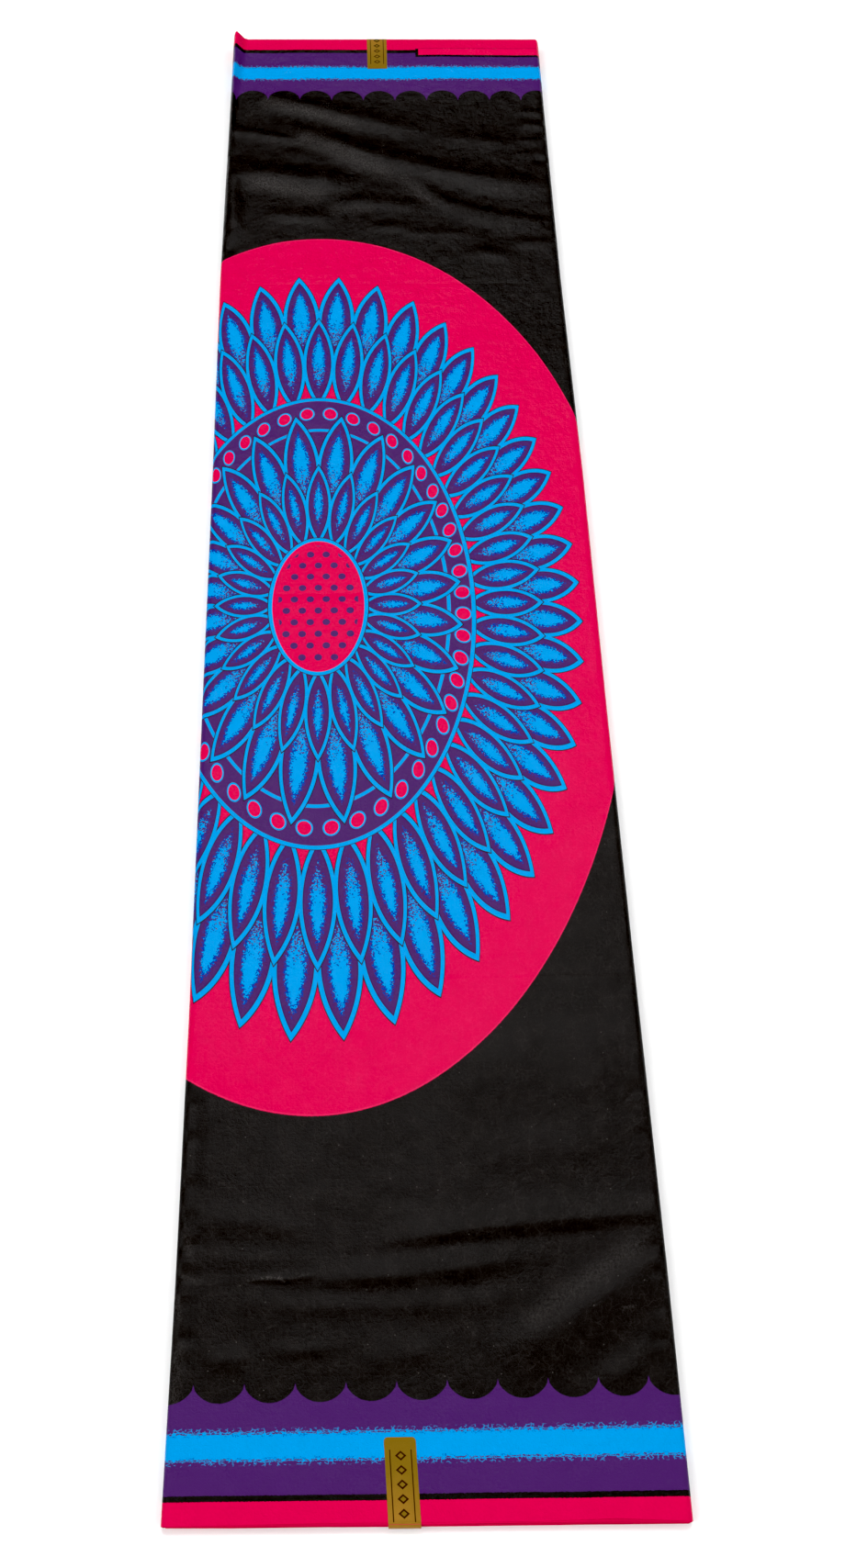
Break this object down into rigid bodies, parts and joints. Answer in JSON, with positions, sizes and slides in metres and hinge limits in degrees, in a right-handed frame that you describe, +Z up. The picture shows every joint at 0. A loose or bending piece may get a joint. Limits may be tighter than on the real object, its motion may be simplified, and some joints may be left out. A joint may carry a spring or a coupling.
{
  "type": "wax print fabric, folded length",
  "caption": "Length of wax print cotton folded flat into a long strip, with printed borders at both ends and plain foil labels stuck over the ends.",
  "frame": {"origin": "centre of the bounding box on the surface that the cloth lies on", "axes": "+Y along the strip, from the end with the tilted label to the end with the pinched corner; +X across the strip; +Z up through the plies"},
  "size_m": [0.2744, 1.1737, 0.0187],
  "materials": {
    "printed_cotton": "waxy sheen, printed in black, pink, purple and blue",
    "cotton_selvedges": "dull woven edges",
    "gold_foil": "satin foil on paper"
  },
  "bodies": {
    "root": {"top_panel": "printed_cotton", "bottom_panel": "printed_cotton", "folded_layers": "cotton_selvedges", "label_near": "gold_foil", "label_far": "gold_foil"}
  },
  "joints": []
}
